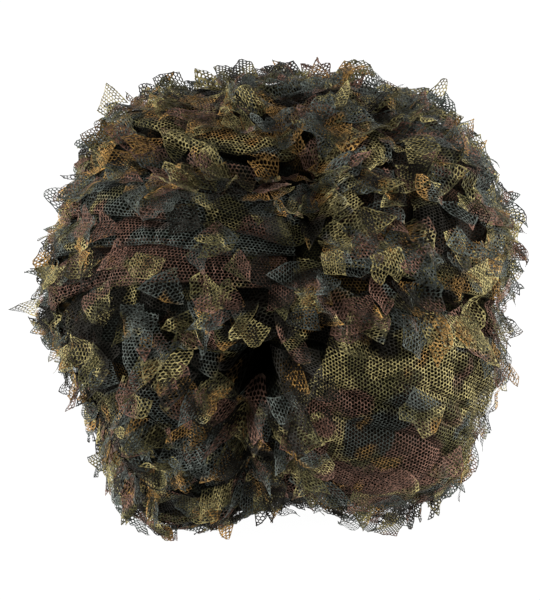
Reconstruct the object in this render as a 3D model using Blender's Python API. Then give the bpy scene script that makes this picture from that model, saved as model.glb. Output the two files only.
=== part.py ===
"""Camouflage net, gathered loosely into a round bundle that stands on a small flat spot.

The net is one knitted cloth, so the bundle is one solid: a short fat roll lying along X, with
domed ends, its turns parted by creases and one deep pit where the turns close at the front.
Directions are given from the middle of the bundle: azimuth 0 is the front (-Y) and 90 the right
end (+X), elevation 90 is straight up.
"""
import bmesh
import bpy
import numpy as np

# Body of the bundle, in metres.
HALF_LENGTH = 0.208          # along X
HALF_DEPTH = 0.208           # along Y
HALF_HEIGHT = 0.199          # along Z, before the flat spot is cut
CORE_HEIGHT = 0.181          # height of the middle above the surface it rests on
END_SQUARENESS = 2.9         # 2 is an ellipsoid, more makes the ends flatter
MEAN_RADIUS = 0.195          # turns an angle at the middle into a length on the surface

# A crease is a narrow cleft in a wide shallow trough.
CREASE_WIDTH = 0.0085
TROUGH_WIDTH = 0.024
TROUGH_SHARE = 0.42
CREASE_SAMPLES = 48
CREASE_END_SHARE = 0.14      # share of a crease over which it fades out at each end

# The pit where the turns close.
PIT_AZIMUTH = -7.0
PIT_ELEVATION = 20.0
PIT_DEPTH = 0.062
PIT_RADIUS = 0.017

# Small unevenness of the turns between the creases.
RIPPLE_WAVES = 14
RIPPLE_HEIGHT = 0.0016
RIPPLE_PITCH = 0.055
RIPPLE_SEED = 7

SPHERE_STEPS = 7             # subdivision of the first sphere
KEPT_FACES = 0.105           # share of its faces that the finished form keeps

# Broad swellings and hollows: azimuth, elevation, height in metres, spread in degrees.
SWELLS = (
    ("lower_right_turn", 38, 6, 0.012, 25),
    ("upper_left_turn", -50, 44, 0.004, 22),
    ("upper_right_turn", 68, 44, 0.008, 22),
    ("right_shoulder_turn", 88, 17, 0.007, 14),
    ("left_shoulder_hollow", -84, 15, -0.007, 12),
    ("left_point", -86, 1, 0.016, 10),
    ("lower_left_waist", -61, -22, -0.072, 19),
    ("right_waist", 77, -16, -0.033, 22),
    ("upper_left_hollow", -114, 28, -0.011, 18),
    ("lower_left_foot", -52, -42, 0.030, 19),
    ("lower_right_foot", 42, -42, 0.010, 20),
    ("foot_notch", 10, -47, -0.050, 13),
    ("crown", -10, 84, -0.004, 24),
    ("back_turn", 172, 30, 0.009, 30),
    ("back_left_hollow", -138, -8, -0.010, 22),
    ("back_right_hollow", 134, 2, -0.009, 20),
)

# Creases: name, depth in metres, then the directions (azimuth, elevation) they run through.
CREASES = (
    ("crown_band", 0.018, ((-116, 41), (-86, 66), (-15, 81), (34, 81))),
    ("upper_band", 0.017, ((-77, 56), (-30, 70), (21, 76), (60, 70))),
    ("dark_band", 0.021, ((-90, 27), (-57, 49), (-25, 57), (4, 54), (14, 55))),
    ("middle_band", 0.016, ((-84, 20), (-56, 40), (-42, 46), (-18, 51), (8, 51))),
    ("long_lip", 0.022, ((-76, 8), (-66, 22), (-47, 36), (-27, 42), (-7, 44), (4, 44))),
    ("right_lip", 0.022, ((16, 46), (31, 43), (51, 30), (76, 12))),
    ("pit_branch", 0.026, ((-8, 26), (-2, 32), (9, 30), (22, 25), (29, 28))),
    ("pit_drop", 0.024, ((-7, 24), (-8, 13), (-10, 1), (-8, -8), (-10, -24))),
    ("left_edge", 0.022, ((-58, 24), (-46, 6), (-40, -4), (-31, -20), (-30, -44))),
    ("left_fold", 0.019, ((-40, 24), (-29, 14), (-19, -2), (-17, -16))),
    ("under_bulge", 0.024, ((2, -24), (11, -13), (27, -21), (47, -30), (68, -22))),
    ("bulge_arc", 0.015, ((25, 24), (33, 19), (45, 5), (60, -16))),
    ("inner_arc", 0.011, ((18, 11), (27, 3), (43, -8), (60, -8))),
    ("crown_right", 0.017, ((134, 68), (104, 72), (81, 69), (66, 60))),
    ("right_shoulder", 0.020, ((62, 58), (80, 46), (99, 23), (104, 8))),
    ("centre_cleft", 0.021, ((7, 44), (11, 54), (22, 62), (28, 69), (50, 74))),
    ("right_cleft", 0.017, ((60, 50), (47, 38), (52, 26))),
    ("back_crown", 0.018, ((-128, 44), (-134, 68), (164, 80), (131, 58))),
    ("left_pocket", 0.020, ((-60, 14), (-49, 26), (-40, 34), (-30, 33))),
    ("pit_shoulder", 0.016, ((-24, 30), (-18, 24), (-8, 22))),
    ("foot_layer", 0.014, ((13, -24), (30, -40), (48, -42))),
    ("left_end_front", 0.018, ((-88, 46), (-98, 16), (-88, -10), (-72, -34))),
    ("left_end_back", 0.018, ((-118, 34), (-118, 5), (-106, -24))),
    ("back_high", 0.020, ((-152, 46), (178, 56), (142, 49), (112, 34))),
    ("back_middle", 0.021, ((-132, 22), (-162, 32), (172, 27), (142, 17), (116, 8))),
    ("back_low", 0.020, ((-122, -8), (-150, 4), (-176, -3), (150, -11), (118, -18))),
    ("back_cleft", 0.018, ((-158, 32), (-153, 10), (-163, -12))),
    ("back_foot", 0.016, ((-96, -34), (-130, -28), (-160, -35), (166, -28))),
    ("right_end", 0.018, ((80, 22), (93, 0), (82, -26))),
    ("right_end_back", 0.018, ((112, 38), (115, 16), (103, -8), (112, -30))),
    ("back_right_fold", 0.016, ((126, -2), (141, -16), (150, -36))),
)


def unit(vectors):
    return vectors / np.linalg.norm(vectors, axis=-1, keepdims=True)


def direction(azimuth, elevation):
    """Unit vector for an azimuth from the front towards +X and an elevation, in degrees."""
    turn, rise = np.radians(azimuth), np.radians(elevation)
    across = np.sin(turn) * np.cos(rise)
    ahead = -np.cos(turn) * np.cos(rise)
    return np.stack([across, ahead, np.sin(rise)], axis=-1)


def crease_line(knots):
    """Even samples of the smooth curve (Catmull-Rom) through a crease's directions."""
    table = np.array(knots, dtype=float)
    points = direction(table[:, 0], table[:, 1])
    first = 2 * points[0] - points[1]
    last = 2 * points[-1] - points[-2]
    points = np.vstack([first, points, last])
    place = np.linspace(0, len(knots) - 1 - 1e-6, CREASE_SAMPLES)
    span = place.astype(int)
    t = (place - span)[:, None]
    before, start, end, after = (points[span + shift] for shift in range(4))
    curve = (2 * start + (end - before) * t
             + (2 * before - 5 * start + 4 * end - after) * t ** 2
             + (3 * start - before - 3 * end + after) * t ** 3) / 2
    return unit(curve)


def body_radius(rays):
    """Distance from the middle to the plain roll along each ray."""
    x, y, z = np.abs(rays).T
    girth = np.sqrt((y / HALF_DEPTH) ** 2 + (z / HALF_HEIGHT) ** 2)
    power = END_SQUARENESS
    return ((x / HALF_LENGTH) ** power + girth ** power) ** (-1 / power)


def swell_height(rays):
    total = np.zeros(len(rays))
    for _, azimuth, elevation, height, spread in SWELLS:
        angle = np.degrees(np.arccos(np.clip(rays @ direction(azimuth, elevation), -1, 1)))
        total += height * np.exp(-(angle / spread) ** 2)
    return total


def crease_depth(rays):
    """Depth of the creases; where two meet, the deeper one counts most."""
    total = np.zeros(len(rays))
    along = np.linspace(0, 1, CREASE_SAMPLES)
    fade = np.clip(np.minimum(along, 1 - along) / CREASE_END_SHARE, 0, 1)
    fade = 0.25 + 0.75 * fade * fade * (3 - 2 * fade)
    for _, depth, knots in CREASES:
        nearness = rays @ crease_line(knots).T
        closest = np.argmax(nearness, axis=1)
        angle = np.arccos(np.clip(nearness[np.arange(len(rays)), closest], -1, 1))
        gap = angle * MEAN_RADIUS
        cleft = (1 - TROUGH_SHARE) * np.exp(-gap / CREASE_WIDTH)
        trough = TROUGH_SHARE * np.exp(-(gap / TROUGH_WIDTH) ** 2)
        own = depth * fade[closest] * (cleft + trough)
        total = np.maximum(total, own) + 0.35 * np.minimum(total, own)
    return total


def pit_depth(rays):
    angle = np.arccos(np.clip(rays @ direction(PIT_AZIMUTH, PIT_ELEVATION), -1, 1))
    return PIT_DEPTH * np.exp(-(angle * MEAN_RADIUS / PIT_RADIUS) ** 2)


def ripple_height(rays):
    """Sum of plane waves in seeded directions, so that no turn is perfectly even."""
    chance = np.random.default_rng(RIPPLE_SEED)
    waves = unit(chance.normal(size=(RIPPLE_WAVES, 3)))
    pitch = RIPPLE_PITCH * chance.uniform(0.7, 1.5, RIPPLE_WAVES)
    phase = chance.uniform(0, 2 * np.pi, RIPPLE_WAVES)
    turns = 2 * np.pi * MEAN_RADIUS * (rays @ waves.T) / pitch
    return RIPPLE_HEIGHT * np.sin(turns + phase).sum(axis=1) / np.sqrt(RIPPLE_WAVES / 2)


def fold_the_sphere(mesh):
    """Move each point of a unit sphere out to the surface of the bundle."""
    count = len(mesh.vertices)
    flat = np.empty(count * 3)
    mesh.vertices.foreach_get("co", flat)
    rays = unit(flat.reshape(count, 3))
    radius = body_radius(rays) + swell_height(rays) + ripple_height(rays)
    radius -= crease_depth(rays) + pit_depth(rays)
    points = rays * radius[:, None]
    points[:, 2] += CORE_HEIGHT
    mesh.vertices.foreach_set("co", points.ravel())
    mesh.update()


def cut_flat_spot(mesh):
    """Cut off what is below the resting surface and close the cut with one flat face."""
    shape = bmesh.new()
    shape.from_mesh(mesh)
    everything = shape.verts[:] + shape.edges[:] + shape.faces[:]
    bmesh.ops.bisect_plane(shape, geom=everything, dist=1e-6, plane_co=(0, 0, 0),
                           plane_no=(0, 0, -1), clear_outer=True)
    rim = [edge for edge in shape.edges if edge.is_boundary]
    bmesh.ops.holes_fill(shape, edges=rim)
    bmesh.ops.recalc_face_normals(shape, faces=shape.faces)
    for face in shape.faces:
        face.smooth = True
    shape.to_mesh(mesh)
    shape.free()


def centre_on_base(mesh):
    """Put the middle of the bundle's plan at the origin, standing on Z = 0."""
    count = len(mesh.vertices)
    flat = np.empty(count * 3)
    mesh.vertices.foreach_get("co", flat)
    points = flat.reshape(count, 3)
    middle = (points.min(axis=0) + points.max(axis=0)) / 2
    points[:, :2] -= middle[:2]
    mesh.vertices.foreach_set("co", points.ravel())
    mesh.update()


def net_finish():
    material = bpy.data.materials.new("camouflage_net")
    material.use_nodes = True
    shader = material.node_tree.nodes["Principled BSDF"]
    shader.inputs["Base Color"].default_value = (0.075, 0.066, 0.040, 1)
    shader.inputs["Roughness"].default_value = 0.85
    shader.inputs["Metallic"].default_value = 0
    return material


def net_bundle():
    mesh = bpy.data.meshes.new("net_bundle")
    sphere = bmesh.new()
    bmesh.ops.create_icosphere(sphere, subdivisions=SPHERE_STEPS, radius=1)
    sphere.to_mesh(mesh)
    sphere.free()
    fold_the_sphere(mesh)
    bundle = bpy.data.objects.new("net_bundle", mesh)
    bpy.context.scene.collection.objects.link(bundle)

    # Fewer, larger facets where the turns are smooth; the creases keep theirs.
    thin = bundle.modifiers.new("fewer_facets", "DECIMATE")
    thin.ratio = KEPT_FACES
    bpy.context.view_layer.update()
    seen = bundle.evaluated_get(bpy.context.evaluated_depsgraph_get())
    lean = bpy.data.meshes.new_from_object(seen)
    lean.name = "net_bundle_folds"
    bundle.modifiers.clear()
    bundle.data = lean
    cut_flat_spot(lean)
    centre_on_base(lean)
    lean.materials.clear()
    lean.materials.append(net_finish())
    return bundle


def clear_the_scene():
    for obj in list(bpy.data.objects):
        bpy.data.objects.remove(obj, do_unlink=True)


clear_the_scene()
net_bundle()
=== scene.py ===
import math
import bpy
import numpy as np
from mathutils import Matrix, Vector


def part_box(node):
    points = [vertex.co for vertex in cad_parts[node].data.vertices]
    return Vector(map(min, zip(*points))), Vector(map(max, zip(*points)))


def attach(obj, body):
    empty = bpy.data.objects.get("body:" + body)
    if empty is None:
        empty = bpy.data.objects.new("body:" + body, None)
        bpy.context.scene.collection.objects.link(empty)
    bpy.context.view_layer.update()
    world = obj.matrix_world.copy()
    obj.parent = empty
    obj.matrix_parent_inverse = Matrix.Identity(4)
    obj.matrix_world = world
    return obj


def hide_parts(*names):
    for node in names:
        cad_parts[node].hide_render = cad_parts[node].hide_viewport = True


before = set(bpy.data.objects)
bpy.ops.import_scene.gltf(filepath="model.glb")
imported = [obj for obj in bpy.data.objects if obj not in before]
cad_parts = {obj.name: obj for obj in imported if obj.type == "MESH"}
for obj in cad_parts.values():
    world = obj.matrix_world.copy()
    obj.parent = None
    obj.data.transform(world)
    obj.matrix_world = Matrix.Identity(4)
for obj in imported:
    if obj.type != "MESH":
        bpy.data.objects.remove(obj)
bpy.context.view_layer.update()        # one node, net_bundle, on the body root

# The net is knitted with staggered holes and cut all over into leaves.
net = {
    "holePitch": 0.00285,     # between hole centres along a row
    "rowPitch": 0.00247,      # between rows of holes
    "barLength": 0.00165,     # of the upright strands between two holes of a row
    "strandWidth": 0.00070,
    "clothWidth": 1.5,        # of the whole net
    "printSize": 1.6,         # metres of cloth in one unit of the print's own map
    "seed": 41,
}

body = {
    "heightShare": 0.4809,    # height of the middle that the folds are laid out from
    "planShift": (-0.0044, 0.0002),
    "meanRadius": 0.200,
    "turnSteps": 600,         # chart of the bundle: rays round X by rays along it
    "tiltSteps": 300,
    "floorGap": 0.0006,       # the net keeps this far above what the bundle rests on
}

# Creases between the turns: name, the side whose net hangs over it (1 is left of its run seen
# from outside, -1 right, 0 neither), overhang and width of that lip in metres, and its run as
# azimuth and elevation in degrees.
creases = (
    ("crownBand", 1, 0.006, 0.038, ((-116, 41), (-86, 66), (-15, 81), (34, 81))),
    ("upperBand", 0, 0, 0, ((-77, 56), (-30, 70), (21, 76), (60, 70))),
    ("darkBand", 1, 0.009, 0.035, ((-90, 27), (-57, 49), (-25, 57), (4, 54), (14, 55))),
    ("middleBand", 1, 0.007, 0.026, ((-84, 20), (-56, 40), (-42, 46), (-18, 51), (8, 51))),
    ("longLip", 1, 0.009, 0.029, ((-76, 8), (-66, 22), (-47, 36), (-27, 42), (-7, 44), (4, 44))),
    ("rightLip", 1, 0.003, 0.034, ((16, 46), (31, 43), (51, 30), (76, 12))),
    ("pitBranch", 1, 0.006, 0.029, ((-8, 26), (-2, 32), (9, 30), (22, 25), (29, 28))),
    ("pitDrop", 0, 0, 0, ((-7, 24), (-8, 13), (-10, 1), (-8, -8), (-10, -24))),
    ("leftEdge", 1, 0.010, 0.030, ((-58, 24), (-46, 6), (-40, -4), (-31, -20), (-30, -44))),
    ("leftFold", 1, 0.008, 0.027, ((-40, 24), (-29, 14), (-19, -2), (-17, -16))),
    ("underBulge", 1, 0.012, 0.039, ((2, -24), (11, -13), (27, -21), (47, -30), (68, -22))),
    ("bulgeArc", 0, 0, 0, ((25, 24), (33, 19), (45, 5), (60, -16))),
    ("innerArc", 0, 0, 0, ((18, 11), (27, 3), (43, -8), (60, -8))),
    ("crownRight", -1, 0.004, 0.034, ((134, 68), (104, 72), (81, 69), (66, 60))),
    ("rightShoulder", 1, 0.005, 0.038, ((62, 58), (80, 46), (99, 23), (104, 8))),
    ("centreCleft", 0, 0, 0, ((7, 44), (11, 54), (22, 62), (28, 69), (50, 74))),
    ("rightCleft", 1, 0.007, 0.029, ((60, 50), (47, 38), (52, 26))),
    ("backCrown", -1, 0.007, 0.035, ((-128, 44), (-134, 68), (164, 80), (131, 58))),
    ("leftPocket", 1, 0.010, 0.026, ((-60, 14), (-49, 26), (-40, 34), (-30, 33))),
    ("pitShoulder", 0, 0, 0, ((-24, 30), (-18, 24), (-8, 22))),
    ("footLayer", 1, 0.007, 0.026, ((13, -24), (30, -40), (48, -42))),
    ("leftEndFront", 0, 0, 0, ((-88, 46), (-98, 16), (-88, -10), (-72, -34))),
    ("leftEndBack", -1, 0.008, 0.034, ((-118, 34), (-118, 5), (-106, -24))),
    ("backHigh", -1, 0.009, 0.032, ((-152, 46), (178, 56), (142, 49), (112, 34))),
    ("backMiddle", -1, 0.009, 0.032, ((-132, 22), (-162, 32), (172, 27), (142, 17), (116, 8))),
    ("backLow", -1, 0.009, 0.032, ((-122, -8), (-150, 4), (-176, -3), (150, -11), (118, -18))),
    ("backCleft", 0, 0, 0, ((-158, 32), (-153, 10), (-163, -12))),
    ("backFoot", 0, 0, 0, ((-96, -34), (-130, -28), (-160, -35), (166, -28))),
    ("rightEnd", 1, 0.007, 0.034, ((80, 22), (93, 0), (82, -26))),
    ("rightEndBack", 0, 0, 0, ((112, 38), (115, 16), (103, -8), (112, -30))),
    ("backRightFold", 0, 0, 0, ((126, -2), (141, -16), (150, -36))),
)

lipped = [crease for crease in creases if crease[1]]

low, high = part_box("net_bundle")
middle = np.array([
    (low.x + high.x) / 2 - body["planShift"][0],
    (low.y + high.y) / 2 - body["planShift"][1],
    low.z + body["heightShare"] * (high.z - low.z),
])


# Small helpers

def addObject(name, data):
    thing = bpy.data.objects.new(name, data)
    bpy.context.scene.collection.objects.link(thing)
    return thing


def unit(v):
    return v / np.linalg.norm(v, axis=-1, keepdims=True)


def ease(x, start, end):
    # smooth step: 0 before start, 1 after end, 3t^2 - 2t^3 between
    t = np.clip((x - start) / (end - start), 0, 1)
    return t * t * (3 - 2 * t)


def direction(azimuth, elevation):
    turn, rise = np.radians(azimuth), np.radians(elevation)
    return np.stack([np.sin(turn) * np.cos(rise), -np.cos(turn) * np.cos(rise), np.sin(rise)],
                    axis=-1)


def creaseLine(knots, samples):
    # Catmull-Rom curve through the knots' unit vectors, back on the unit sphere
    table = np.array(knots, float)
    points = direction(table[:, 0], table[:, 1])
    points = np.vstack([2 * points[0] - points[1], points, 2 * points[-1] - points[-2]])
    station = np.linspace(0, len(knots) - 1 - 1e-6, samples)
    span = station.astype(int)
    t = (station - span)[:, None]
    p0, p1, p2, p3 = (points[span + shift] for shift in range(4))
    curve = (2 * p1 + (p2 - p0) * t + (2 * p0 - 5 * p1 + 4 * p2 - p3) * t ** 2
             + (3 * p1 - p0 - 3 * p2 + p3) * t ** 3) / 2
    return unit(curve)


def turned(x, y, angle):
    return x * math.cos(angle) - y * math.sin(angle), x * math.sin(angle) + y * math.cos(angle)


def headingOn(ray, heading):
    # direction on the surface at a ray: degrees from level, east first and then up
    east = unit(np.cross([0, 0, 1.0], ray))
    turn = math.radians(heading)
    return math.cos(turn) * east + math.sin(turn) * np.cross(ray, east)


def puffs(phase):
    # round ridges with sharp valleys between them, from -1 in a valley to 0 on a ridge
    return np.abs(np.sin(phase)) ** 0.8 - 1


def waves(points, pitch, count, seed):
    # sum of plane waves in seeded directions, about -1 to 1
    chance = np.random.default_rng(seed)
    heading = unit(chance.normal(size=(count, 3)))
    spacing = pitch * chance.uniform(0.7, 1.5, count)
    phase = chance.uniform(0, 2 * np.pi, count)
    height = np.zeros(points.shape[:-1])
    for k in range(count):
        height += np.sin(2 * np.pi * (points @ heading[k]) / spacing[k] + phase[k])
    return height / math.sqrt(count)


# Chart of the bundle: one number for each ray from the middle

turnLine = np.arange(body["turnSteps"]) * 2 * np.pi / body["turnSteps"]
tiltLine = (np.arange(body["tiltSteps"]) + 0.5) * np.pi / body["tiltSteps"] - np.pi / 2


def rayGrid(turnValues, tiltValues):
    # turn runs round X from the front up over the top; tilt runs from the left end to the right
    turn, tilt = np.meshgrid(turnValues, tiltValues, indexing="ij")
    return np.stack([np.sin(tilt), -np.cos(tilt) * np.cos(turn), np.cos(tilt) * np.sin(turn)],
                    axis=-1)


rays = rayGrid(turnLine, tiltLine)


def gridQuads(turns, tilts):
    # faces of a grid that closes round the turns
    i, j = np.meshgrid(np.arange(turns), np.arange(tilts - 1), indexing="ij")
    nextI = (i + 1) % turns
    return np.stack([i * tilts + j, nextI * tilts + j, nextI * tilts + j + 1, i * tilts + j + 1],
                    axis=-1).reshape(-1, 4)


def chartPlace(rayArray):
    # rows and columns of the chart, with their fractions
    turn = np.arctan2(rayArray[..., 2], -rayArray[..., 1]) / (2 * np.pi) * body["turnSteps"]
    tilt = (np.arcsin(np.clip(rayArray[..., 0], -1, 1)) + np.pi / 2) / np.pi * body["tiltSteps"]
    return turn, tilt - 0.5


def readChart(chart, rayArray):
    # bilinear reading of a chart along any rays
    turn, tilt = chartPlace(rayArray)
    tilt = np.clip(tilt, 0, body["tiltSteps"] - 1.001)
    i, j = np.floor(turn).astype(int), np.floor(tilt).astype(int)
    a, b = turn - i, tilt - j
    i, nextI = i % body["turnSteps"], (i + 1) % body["turnSteps"]
    return ((1 - a) * (1 - b) * chart[i, j] + a * (1 - b) * chart[nextI, j]
            + (1 - a) * b * chart[i, j + 1] + a * b * chart[nextI, j + 1])


def blurChart(chart, width):
    # Gaussian blur of a width in metres: by Fourier transform round X, by a kernel along it
    reach = width / body["meanRadius"]
    rows = reach / np.maximum(np.cos(tiltLine), 0.12) * body["turnSteps"] / (2 * np.pi)
    rate = np.fft.rfftfreq(body["turnSteps"])
    fading = np.exp(-2 * (np.pi * rate[:, None] * rows[None, :]) ** 2)
    chart = np.fft.irfft(np.fft.rfft(chart, axis=0) * fading, n=body["turnSteps"], axis=0)
    sigma = reach * body["tiltSteps"] / np.pi
    half = int(3 * sigma) + 1
    kernel = np.exp(-0.5 * (np.arange(-half, half + 1) / sigma) ** 2)
    kernel /= kernel.sum()
    wide = np.pad(chart, ((0, 0), (half, half)), mode="edge")
    return sum(kernel[k] * wide[:, k:k + chart.shape[1]] for k in range(2 * half + 1))


def soundSolid():
    # radius of the CAD solid along every chart ray: a sphere round it is shrunk on to it
    shell = bpy.data.meshes.new("sounding")
    fillMesh(shell, middle + 0.45 * rays.reshape(-1, 3), gridQuads(*rays.shape[:2]))
    probe = addObject("sounding", shell)
    shrink = probe.modifiers.new("onto_solid", "SHRINKWRAP")
    shrink.wrap_method = "PROJECT"
    shrink.use_negative_direction = True
    shrink.use_positive_direction = True
    shrink.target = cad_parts["net_bundle"]
    bpy.context.view_layer.update()
    seen = probe.evaluated_get(bpy.context.evaluated_depsgraph_get()).data
    flat = np.empty(len(seen.vertices) * 3)
    seen.vertices.foreach_get("co", flat)
    bpy.data.objects.remove(probe)
    bpy.data.meshes.remove(shell)
    return np.linalg.norm(flat.reshape(rays.shape) - middle, axis=-1)


def nearestCrease(rayArray, chosen):
    # length on the surface to the nearest crease, whether the ray is on the side whose net
    # hangs over it, and by how much
    gap = np.full(rayArray.shape[:-1], 9.0)
    over = np.zeros(gap.shape, bool)
    overhang = np.zeros(gap.shape)
    for _, sideSign, reach, _, knots in chosen:
        line = creaseLine(knots, 60)
        across = np.cross(line, np.gradient(line, axis=0)) * sideSign
        nearness = np.clip(rayArray @ line.T, -1, 1)
        nearest = np.argmax(nearness, axis=-1)
        here = np.arccos(nearness.max(axis=-1)) * body["meanRadius"]
        closer = here < gap
        gap = np.where(closer, here, gap)
        over = np.where(closer, np.sum(rayArray * across[nearest], axis=-1) > 0, over)
        overhang = np.where(closer, reach, overhang)
    return gap, over, overhang


# Meshes

def fillMesh(mesh, points, quads, cloth=None):
    # a mesh from whole arrays; a quad whose last two corners are the same is a triangle; cloth
    # is each point's place on the print, in metres
    sizes = np.where(quads[:, 2] == quads[:, 3], 3, 4)
    corners = quads[np.arange(4) < sizes[:, None]].astype(np.int32)
    starts = np.concatenate([[0], np.cumsum(sizes)[:-1]]).astype(np.int32)
    mesh.vertices.add(len(points))
    mesh.vertices.foreach_set("co", np.ascontiguousarray(points, np.float32).ravel())
    mesh.loops.add(len(corners))
    mesh.loops.foreach_set("vertex_index", corners)
    mesh.polygons.add(len(sizes))
    mesh.polygons.foreach_set("loop_start", starts)
    mesh.update(calc_edges=True)
    mesh.polygons.foreach_set("use_smooth", np.ones(len(sizes), bool))
    if cloth is not None:
        layer = mesh.uv_layers.new(name="OFBake")
        spots = (cloth / net["printSize"])[corners]
        layer.uv.foreach_set("vector", np.ascontiguousarray(spots, np.float32).ravel())
    mesh.validate()
    mesh.update()


def addPiece(name, points, quads, cloth, material):
    mesh = bpy.data.meshes.new(name)
    fillMesh(mesh, points, quads, cloth)
    mesh.materials.append(material)
    return addObject(name, mesh)


def nodePlaces(rows, columns):
    # the lower and the upper end of each upright strand of the net
    j, i, end = np.meshgrid(np.arange(rows), np.arange(columns), (-0.5, 0.5), indexing="ij")
    return (i + 0.5 * (j % 2)) * net["holePitch"], j * net["rowPitch"] + end * net["barLength"]


def netFaces(kept, strandWidth, reach=False):
    # staggered six-sided holes: upright strands in rows, and slanting ones from the upper ends
    # of one row to the lower ends of the next. kept[row, column, end] says which nodes there
    # are; with reach, a strand also runs from a kept node to one that isn't. Gives each point's
    # node, its offset from it, and a quad for each strand.
    rows, columns, _ = kept.shape
    j, i = np.meshgrid(np.arange(rows - 1), np.arange(1, columns - 1), indexing="ij")
    j, i = j.ravel(), i.ravel()
    lower = 2 * (j * columns + i)
    upper = lower + 1
    rightAbove = lower + 2 * columns + 2 * (j % 2)
    flag = kept.ravel()
    join = np.logical_or if reach else np.logical_and
    quads = []
    for left, right in ((upper, rightAbove), (rightAbove - 2, upper)):
        left, right = np.stack([left, right])[:, join(flag[left], flag[right])]
        quads.append(np.stack([4 * left, 4 * right, 4 * right + 1, 4 * left + 1], 1))
    foot, head = np.stack([lower, upper])[:, join(flag[lower], flag[upper])]
    quads.append(np.stack([4 * foot + 2, 4 * foot + 3, 4 * head + 3, 4 * head + 2], 1))
    quads = np.concatenate(quads)
    used = np.unique(quads)
    renumber = np.zeros(rows * columns * 8, int)
    renumber[used] = np.arange(len(used))
    node, corner = used // 4, used % 4
    x, y = (c.ravel()[node] for c in nodePlaces(rows, columns))
    half = 0.5 * strandWidth
    steep = half / math.cos(math.radians(30))           # half a slanting strand, measured upright
    inward = np.where(node % 2 == 0, 0.6, -0.6) * steep    # upright ones start inside the slanting
    offset = np.stack([np.array([0, 0, -half, half])[corner],
                       np.where(corner < 2, (2 * corner - 1) * steep, inward)], 1)
    return np.stack([x, y], 1), offset, renumber[quads]


def netPatch(length, width, inside):
    # a patch of flat net, of the nodes whose places are inside
    rows, columns = int(width / net["rowPitch"]) + 3, int(length / net["holePitch"]) + 3
    kept = inside(*nodePlaces(rows, columns))
    kept[:, 0], kept[:, -1] = False, False
    flat, offset, quads = netFaces(kept, net["strandWidth"])
    return flat + offset, quads


def joined(parts):
    # several (points, quads, cloth) as one
    starts = np.cumsum([0] + [len(part[0]) for part in parts[:-1]])
    return (np.concatenate([part[0] for part in parts]),
            np.concatenate([part[1] + start for part, start in zip(parts, starts)]),
            np.concatenate([part[2] for part in parts]))


# Materials

camo = {
    "olive": (0.086, 0.078, 0.032, 1),
    "straw": (0.300, 0.252, 0.106, 1),
    "slate": (0.066, 0.077, 0.068, 1),
    "rust": (0.142, 0.076, 0.054, 1),
    "ochre": (0.292, 0.166, 0.050, 1),
    "bark": (0.009, 0.008, 0.006, 1),
    "bandWidth": 0.32,        # the print leans to another tone in each of five bands
    "fray": (190, 0.07),      # scale and strength of the fray at the borders of blotches
    "worn": (13, 0.45),       # scale of the worn patches and how far they go to bark
    "dyeAndSheen": (420, 0.80),    # the same for single yarns: part uneven dye, part painted sheen where the yarns left light stand out
    "patchReach": 0.08,       # how far a leaf's print may lie off the middle of its band
}

# blotches from the lowest to the top one: tone, where its noise starts, its scale, the edge that
# the noise has to pass, the band where it has more of the cloth, and how much more
blotches = (
    ("straw", (7, 1, 0), 27, 0.535, 2, 0.08),
    ("slate", (1, 5, 0), 20, 0.575, 0, 0.19),
    ("rust", (3, 9, 0), 22, 0.600, 1, 0.17),
    ("bark", (8.6, 2.4, 0), 20, 0.680, 4, 0.23),
    ("ochre", (4, 4, 0), 24, 0.645, 3, 0.13),
)

yarn = {
    "finish": {
        "Roughness": 0.6,
        "Specular IOR Level": 0.03,
        "Sheen Weight": 0.01,
        "Sheen Roughness": 0.5,
    },
    "ridgeScale": 1500,       # twisted yarn: fine ridges across the strands
    "ridges": {"Strength": 0.6, "Distance": 0.0004},
}

ground = {
    "strandEdge": (0.12, 0.16),    # from a hole's middle, in squares of the hole pitch
    "shadeAbove": 0.79,       # share of painted shade on the turns, and what the depth under the hood adds
    "shadeBelow": 0.20,
    # the painted shade, and the near black painted in the holes where the turns beneath lie in
    # shade
    "paintedShade": (0.003, 0.003, 0.002, 1),
    "holeShade": (0.002, 0.002, 0.0015, 1),
    "finish": {"Roughness": 0.9, "Specular IOR Level": 0.0},
    "relief": {"Strength": 0.7, "Distance": 0.001},
}


def setInputs(node, values):
    # into a node's inputs, by name or number: numbers, colours, or a link from another's output
    for name, value in values.items():
        if isinstance(value, bpy.types.NodeSocket):
            node.id_data.links.new(value, node.inputs[name])
        else:
            node.inputs[name].default_value = value


class Nodes:
    # short way to lay out a material's nodes: each method adds one and gives its output
    def __init__(self, name):
        self.material = bpy.data.materials.new(name)
        self.material.use_nodes = True
        self.nodes = self.material.node_tree.nodes
        self.shader = self.nodes["Principled BSDF"]

    def add(self, kind, output, inputs, **settings):
        node = self.nodes.new(kind)
        for key, value in settings.items():
            setattr(node, key, value)
        setInputs(node, inputs)
        return node.outputs[output]

    def math(self, operation, *values):
        return self.add("ShaderNodeMath", 0, dict(enumerate(values)), operation=operation)

    def mix(self, share, a, b):
        return self.add("ShaderNodeMix", 2, {0: share, 6: a, 7: b}, data_type="RGBA")

    def noise(self, vector, scale, detail=3.0, rough=0.55, warp=0.0):
        return self.add("ShaderNodeTexNoise", "Fac", {
            "Vector": vector, "Scale": scale, "Detail": detail, "Roughness": rough,
            "Distortion": warp})

    def step(self, value, start, end):
        inputs = {"Value": value, "From Min": start, "From Max": end}
        return self.add("ShaderNodeMapRange", "Result", inputs, interpolation_type="SMOOTHSTEP")

    def bump(self, height, values):
        return self.add("ShaderNodeBump", "Normal", {"Height": height, **values})

    def shifted(self, vector, offset, scale=1.0):
        inputs = {"Vector": vector, "Location": offset, "Scale": (scale,) * 3}
        return self.add("ShaderNodeMapping", "Vector", inputs)

    def split(self, vector):
        return self.add("ShaderNodeSeparateXYZ", 0, {0: vector}).node.outputs


def clothPlace(n):
    # the piece's own map, turned into metres of cloth
    uv = n.add("ShaderNodeUVMap", "UV", {}, uv_map="OFBake")
    return n.shifted(uv, (0, 0, 0), net["printSize"])


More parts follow.
